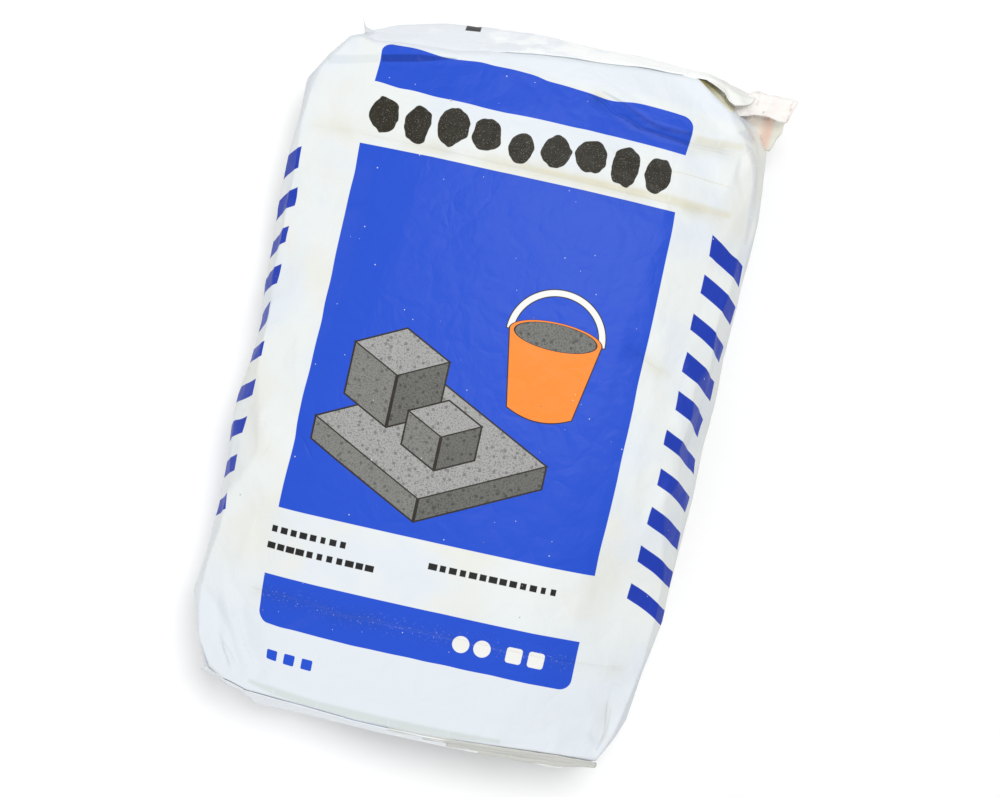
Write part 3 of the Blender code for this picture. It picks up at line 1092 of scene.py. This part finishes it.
def cover_material():
    """White sack paper of the end patches, with a row of dark rounded bars and cream loose edges."""
    material = new_material("patch_paper")
    place = attribute(material, "sheet_place")
    x, z, kind = place.split()
    tint = x * 0.003 + place.noise(0.06, 3.0)
    colour = tint.ramp(0.35, 0.65).mix(COVER_BLUE_GREY, COVER_WHITE)
    cell, local = x.repeat(COVER_PITCH)
    share = (cell + 90.5).random()
    low, high = COVER_ROW
    top = share.ramp(0.7, 0.8, 0.0, 9.0) + high
    bar = abs(local) - (share * 2.0 + 3.2)
    bar = bar.at_least(z - top, low - z, x.past(0.0, COVER_HALF), kind - 0.5)
    colour = bar.inside(0.3).mix(colour, WORD_BLACK)
    loose = kind.ramp(0.5, 1.0)
    colour = (loose * x.ramp(99.0, 112.0)).mix(colour, COVER_CREAM)
    colour = (loose * x.ramp(-100.0, -105.0)).mix(colour, TIP_GREY)
    colour = kind.ramp(1.5, 2.0).mix(colour, PLY_CREAM)
    wrinkles = place.vector("MULTIPLY", (0.05, 0.35, 1.0)).noise(1.0, 3.0)
    normal = wrinkles.bump(0.0012, 0.5)
    return finish_material(material, {"Base Color": colour, "Roughness": 0.55, "Normal": normal})


def sleeve_material():
    """Thin valve paper: pinkish white outside, warm orange inside, with brown creases."""
    material = new_material("sleeve_paper")
    x, turn, _ = attribute(material, "sheet_place").split()
    spot = x.join(turn * 55.0)
    outside = spot.noise(0.12, 3.0).ramp(0.40, 0.62).mix(SLEEVE_PINK, SLEEVE_WHITE)
    inside = x.ramp(145.0, 151.0).mix(SLEEVE_TAN, SLEEVE_PEACH)
    inside = x.ramp(153.0, 157.5).mix(inside, SLEEVE_PALE)
    colour = turn.ramp(0.42, 0.50).mix(outside, inside)
    brown = spot.noise(0.22).ramp(0.60, 0.70)
    colour = (brown * 0.35).mix(colour, SLEEVE_BROWN)
    normal = spot.noise(0.3, 3.0).bump(0.001, 0.6)
    return finish_material(material, {"Base Color": colour, "Roughness": 0.6, "Normal": normal})


def box(x, y, limits, radius=0.0):
    """Signed distance to a box with rounded corners, of low X, high X, low Y and high Y."""
    low_x, high_x, low_y, high_y = limits
    across = x.past((low_x + high_x) / 2, (high_x - low_x) / 2 - radius)
    along = y.past((low_y + high_y) / 2, (high_y - low_y) / 2 - radius)
    if radius == 0.0:
        return across.at_least(along)
    corner = across.at_least(0.0).hypot(along.at_least(0.0))
    return corner + across.at_least(along).at_most(0.0) - radius


def lay_bands(colour, x, y, front):
    """The blue panel, and the bands above and below it with two round corners each."""
    low_x, high_x, low_y, high_y = TOP_BAND
    raised = y + x.ramp(-93.0, -64.0, -2.4, 0.0)
    bow = x.ramp(-25.0, 55.0, -4.6, 0.6) * y.ramp(185.0, 200.0)
    top = box(x, raised + bow, (low_x, high_x, low_y - BAND_CORNER, high_y), BAND_CORNER)
    top = top.at_least(low_y - raised)
    low_x, high_x, low_y, high_y = BOTTOM_BAND
    bottom = box(x, y, (low_x, high_x, low_y, high_y + BAND_CORNER), BAND_CORNER)
    bottom = bottom.at_least(y - high_y)
    blue = top.at_most(bottom, box(x, y, PANEL))
    return (blue.inside() * front).mix(colour, PRINT_BLUE)


def lay_pebbles(colour, place, x, y, front):
    """A row of dark round pebbles, each of its own size, where the heading is."""
    low_x, _, low_y, high_y = PEBBLE_ROW
    cell, local = (x - low_x).repeat(PEBBLE_PITCH)
    one = cell.random()
    other = (cell + 31.5).random()
    middle = one * 5.0 + ((low_y + high_y) / 2 - 2.5)
    across = local / (one * 2.2 + 8.4)
    up = (y - middle) / (other * 4.5 + 9.5)
    distance = across.hypot(up) + (place.noise(0.11, 1.0) * 0.5 - 1.22)
    mask = distance.inside(0.02) * box(x, y, PEBBLE_ROW).inside() * front
    dots = place.noise(1.6).ramp(0.62, 0.68)
    return mask.mix(colour, (dots * 0.22).mix(PEBBLE_BROWN, ART_WHITE))


def lay_words(colour, x, y, front):
    """Rows of short dark dashes, where the small print is."""
    cell, local = x.repeat(WORD_PITCH)
    for number, (low_x, high_x, middle) in enumerate(WORD_ROWS):
        share = (cell + (7.5 + 40 * number)).random()
        dash = abs(local) - (share * 1.5 + 1.5)
        row = x.past((low_x + high_x) / 2, (high_x - low_x) / 2)
        dash = dash.at_least(y.past(middle, WORD_HALF_HEIGHT), row)
        colour = (dash.inside(0.2) * front).mix(colour, WORD_BLACK)
    return colour


def lay_marks(colour, x, y, front):
    """White discs and squares in the lower band, and blue squares below it."""
    for row, ink, marks in PRINT_MARKS:
        for middle, half, radius in marks:
            limits = (middle - half, middle + half, row - half, row + half)
            colour = (box(x, y, limits, radius).inside() * front).mix(colour, ink)
    return colour


def lay_block(colour, x, y, grain, middle, half, height):
    """A concrete block drawn in oblique view: a rhombus on two side faces, with dark outlines."""
    across, up = x - middle[0], y - middle[1]
    wide = abs(across)
    slope = wide * -0.5 + half / 2
    below = up + slope + height / 2
    body = (wide - half).at_least(abs(below) - height / 2)
    top = abs(up) - slope
    left, right, light = (grain.mix(*greys) for greys in BLOCK_GREYS)
    face = across.ramp(-0.1, 0.1).mix(left, right)
    seam = body.at_least(0.6 - wide)
    colour = (body.at_most(top) - 0.7).inside().mix(colour, ART_LINE)
    colour = (seam + 0.5).inside().mix(colour, face)
    return (top + 0.5).inside().mix(colour, light)


def lay_bucket(colour, x, y, grain):
    """An orange bucket with a white handle, filled with grey mix."""
    half_top, half_bottom, height, rim = BUCKET_SIZE
    across, up = x - BUCKET_PLACE[0], y - BUCKET_PLACE[1]
    wide = abs(across)
    side = wide - (up * ((half_top - half_bottom) / height) + half_top)
    foot = wide * wide * 0.012 + (-height - 5.0) - up
    lip = across.hypot(up * (half_top / rim))
    ring = abs(across.hypot(up * 1.05) - half_top) - 2.0
    handle = ring.at_least(up * -1.0)
    whole = side.at_least(foot, up).at_most(lip - half_top)
    inner = lip - (half_top - 3.5)
    for shape, ink in (
        (handle - 0.7, ART_LINE),
        (handle, ART_WHITE),
        (whole - 0.8, ART_LINE),
        (whole, ART_ORANGE),
        (inner - 1.0, ART_LINE),
        (inner, grain.mix(*BUCKET_GREYS)),
    ):
        colour = shape.inside().mix(colour, ink)
    return colour


def lay_art(colour, place, x, y, front):
    """Concrete blocks and a bucket, drawn flat on the panel."""
    fine = place.noise(1.1, 2.0, 0.7).ramp(0.38, 0.50)
    grain = fine * place.cells(0.13, dimensions="2D").ramp(0.10, 0.16)
    drawn = colour
    for block in BLOCKS:
        drawn = lay_block(drawn, x, y, grain, *block)
    return front.mix(colour, lay_bucket(drawn, x, y, grain))


def lay_side_motif(colour, x, y, z):
    """Slanted dark blue bars down both long sides of the sack."""
    right = x.ramp(-1.0, 1.0)
    round_edge = abs(x) + (88.0 - z).at_least(0.0)
    band = round_edge - (right * -28.0 + 186.0)
    lean = band * 0.32 + y
    cell, local = lean.repeat(SIDE_MOTIF_PITCH)
    share = (cell + 60.5).random()
    bar = abs(local) - (share * 3.5 + 4.5)
    height = abs(band) - (share * -5.0 + 25.0)
    ends = lean.past(0.0, SIDE_MOTIF_CELLS * SIDE_MOTIF_PITCH)
    bar = bar.at_least(height, SIDE_MOTIF_LOW - z, ends)
    return bar.inside(0.3).mix(colour, SIDE_BLUE)


def lay_specks(colour, place):
    """Tiny white specks, where grit has rubbed the ink off, and rarer brown ones."""
    for shift, scale, spread, least, edge, strength, ink in SPECKS:
        moved = place.vector("ADD", shift)
        rarity = moved.cells(scale, "Color").split()[0] * spread - least
        mask = (moved.cells(scale) - rarity).inside(edge)
        colour = (mask * strength).mix(colour, ink)
    return colour


def stripe_distance(folded, start, end):
    """Signed distance to a straight stripe between two ends of (x, y, half width)."""
    length = math.dist(start[:2], end[:2])
    way_x, way_y = (end[0] - start[0]) / length, (end[1] - start[1]) / length
    middle = ((start[0] + end[0]) / 2, (start[1] + end[1]) / 2, 0.0)
    offset = folded.vector("SUBTRACT", middle)
    along = offset.vector("DOT_PRODUCT", (way_x, way_y, 0.0), "Value")
    across = offset.vector("DOT_PRODUCT", (-way_y, way_x, 0.0), "Value")
    half = along * ((end[2] - start[2]) / length) + (start[2] + end[2]) / 2
    return (abs(along) - length / 2).at_least(abs(across) - half)


def lay_shade_and_stain_stripes(colour, folded):
    """Painted shade along the pleats and folds of the front, where two folds run side by side, with some
    stain in the yellowish stripes.
    """
    for tint, strength, edge, runs in SHADE_AND_STAIN_STRIPES:
        stripes = [stripe_distance(folded, *ends) for run in runs for ends in zip(run, run[1:])]
        mask = stripes[0].at_most(*stripes[1:]).inside(edge) * strength
        # Multiplies painted shade, and in the yellowish stripes some stain, into the paper's colour.
        colour = mask.mix(colour, tint, "MULTIPLY")
    return colour


def lay_kraft(colour, folded):
    """The brown inner ply that shows in the gap behind the chamfered corner of the front, with painted
    shade darkening it where the gap starts.
    """
    x, y, z = folded.split()
    from_x, from_y = x - KRAFT_CORNER[0], y - KRAFT_CORNER[1]
    way_x, way_y = KRAFT_WAY
    across = from_x * -way_y + from_y * way_x
    along = from_x * way_x + from_y * way_y
    gap = across.past(3.2, 3.8).at_least(along.past(14.5, 15.5), 60.0 - z)
    # Painted shade: a shaded dark brown where the gap starts, at the corner, and a lit pale tone further
    # along.
    brown = along.ramp(2.0, 20.0).mix(KRAFT_SHADED_BROWN, KRAFT_LIT_PALE)
    return gap.inside(0.3).mix(colour, brown)


def crease_marks(crease):
    """How strongly a crease line and its stain and painted shade show at a point."""
    distance, strength, stain_and_shade = crease.split()
    square = distance * distance
    line = (square * LINE_FALL).math("EXPONENT") * strength
    return line, (square * STAIN_AND_SHADE_FALL).math("EXPONENT") * stain_and_shade


def paper_bump(place, line):
    """Soft cockle, two sizes of crinkle, fibre and the sharp crease lines, as small heights."""
    warped = place.vector("ADD", place.noise(0.03, output="Color").vector("MULTIPLY", CRINKLE_WARP))
    narrow = warped.vector("MULTIPLY", (1.0, 0.6, 1.0))
    normal = None
    for height, distance, strength in (
        (place.noise(0.035, 3.0), 0.0020, 0.5),
        (warped.cells(0.045, feature="DISTANCE_TO_EDGE").at_most(0.35), 0.0022, 0.35),
        (narrow.cells(0.12, feature="DISTANCE_TO_EDGE").at_most(0.25), 0.0007, 0.3),
        (place.noise(0.9, 3.0, 0.6), 0.00012, 0.35),
        (line * -1.0, 0.0006, 0.8),
    ):
        normal = height.bump(distance, strength, normal)
    return normal


def paper_material():
    """The coated outer ply: white paper with painted shade towards the ends, its print, then painted shade
    and stains along the folds.
    """
    material = new_material("printed_coated_paper")
    place = attribute(material, "rest_place")
    folded = attribute(material, "folded_place")
    x, y, z = place.split()
    front = z.ramp(40.0, 45.0)
    warm = place.noise(0.016, 3.0).ramp(0.46, 0.66)
    cool = place.vector("ADD", (400, 0, 0)).noise(0.020, 3.0).ramp(0.46, 0.66)
    # Painted shade: the paper turns cooler and darker towards the lower end and above the top band, where
    # it slopes away. Elsewhere the cool tone comes at random.
    cool = cool.at_least(y.ramp(-120.0, -185.0), y.ramp(204.0, 212.0))
    colour = cool.mix(warm.mix(PAPER_WHITE, PAPER_WARM), PAPER_COOL)
    colour = lay_bands(colour, x, y, front)
    colour = lay_art(colour, place, x, y, front)
    colour = lay_pebbles(colour, place, x, y, front)
    colour = lay_words(colour, x, y, front)
    colour = lay_marks(colour, x, y, front)
    colour = lay_side_motif(colour, x, y, z)
    colour = lay_specks(colour, place)
    colour = lay_shade_and_stain_stripes(colour, folded)
    colour = lay_kraft(colour, folded)
    line, stain_and_shade = crease_marks(attribute(material, "crease"))
    patches = place.noise(0.03, 3.0).ramp(0.40, 0.65) * 0.7 + 0.25
    # Yellow along the creases, partly stain and partly painted shade beside the folds.
    colour = (stain_and_shade * patches * 0.55).mix(colour, STAIN_AND_SHADE_YELLOW, "MULTIPLY")
    scuffs = place.noise(0.8, 2.0, 0.6).ramp(0.63, 0.70)
    scuffs = scuffs * (stain_and_shade * y.ramp(-50.0, -150.0, 0.0, 0.6))
    return finish_material(material, {
        "Base Color": scuffs.mix(colour, ART_WHITE),
        "Roughness": 0.45,
        "Specular IOR Level": 0.16,
        "Normal": paper_bump(place, line),
    })


def make_floor():
    """A plain pale floor just under the sack."""
    half = FLOOR_SIZE / 2
    square = ((-half, -half), (half, -half), (half, half), (-half, half))
    corners = [(x, y, FLOOR_DROP) for x, y in square]
    mesh = bpy.data.meshes.new("floor")
    mesh.from_pydata(corners, [], [(0, 1, 2, 3)])
    floor = new_object("floor", mesh)
    looks = {"Base Color": FLOOR_COLOUR, "Roughness": 0.9}
    mesh.materials.append(finish_material(new_material("pale_floor"), looks))


def make_camera():
    data = bpy.data.cameras.new("camera")
    data.sensor_width = SENSOR
    data.lens = SENSOR * (CAMERA_HEIGHT - VIEW_PLANE) / VIEW_WIDTH
    camera = new_object("camera", data)
    camera.location = (*CAMERA_PLACE, CAMERA_HEIGHT)
    camera.rotation_euler = (0, 0, CAMERA_TURN)
    bpy.context.scene.camera = camera


def area_light(name, place, target, size, power):
    data = bpy.data.lights.new(name, "AREA")
    data.shape = "DISK"
    data.size = size
    data.energy = power
    lamp = new_object(name, data)
    lamp.location = place
    way = Vector(target) - Vector(place)
    lamp.rotation_euler = way.to_track_quat("-Z", "Y").to_euler()


def make_lights():
    """Even white surroundings, a wide soft light overhead and two weaker ones from the sides."""
    world = bpy.data.worlds.new("studio")
    world.use_nodes = True
    background = world.node_tree.nodes["Background"]
    background.inputs["Color"].default_value = (1.0, 1.0, 1.0, 1.0)
    background.inputs["Strength"].default_value = WORLD_STRENGTH
    bpy.context.scene.world = world
    for name, place, size, power in LAMPS:
        area_light(name, place, (0.0, 0.0, 0.05), size, power)


def make_mix(sack):
    """The fill, as the sack's own surface moved inward, with a speckled dry-mix material."""
    mix = new_object("dry_mix_fill", sack.data.copy())
    mesh = mix.data
    outer = places(mesh)
    inner = outer - read_rows(mesh.vertices, "normal") * MIX_INSET
    low = np.clip((MIX_LOW - outer[:, 2]) / MIX_LOW * 2, 0, 1)
    inner[:, :2] *= (1 - MIX_LOW_PULL * low)[:, None]
    inner[:, 2] = np.maximum(inner[:, 2], MIX_FLOOR)
    set_places(mesh, inner)
    material = new_material("dry_mix")
    colour = attribute(material, "rest_place").noise(0.6, 4.0).mix(*MIX_GREYS)
    mesh.materials.clear()
    mesh.materials.append(finish_material(material, {"Base Color": colour, "Roughness": 0.95}))
    return mix


def main():
    noise.seed_set(CRUMPLE_SEED)
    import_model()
    make_camera()
    make_floor()
    make_lights()
    sack = make_sack()
    mix = make_mix(sack)
    sack.data.materials.append(paper_material())
    upper, lower = make_patches(surface_tree(sack.data))
    sleeve = make_sleeve()
    covers = cover_material()
    upper.data.materials.append(covers)
    lower.data.materials.append(covers)
    sleeve.data.materials.append(sleeve_material())
    for piece, node, slot in (
        (sack, "paper_sack", "printed_paper"),
        (mix, "dry_concrete_mix", "dry_mix"),
        (upper, "valve_end_patch", "patch_paper"),
        (lower, "bottom_end_patch", "patch_paper"),
        (sleeve, "valve_sleeve", "sleeve_paper"),
    ):
        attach(piece, "root")
        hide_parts(node)
    bpy.context.scene.view_settings.view_transform = "Standard"


main()
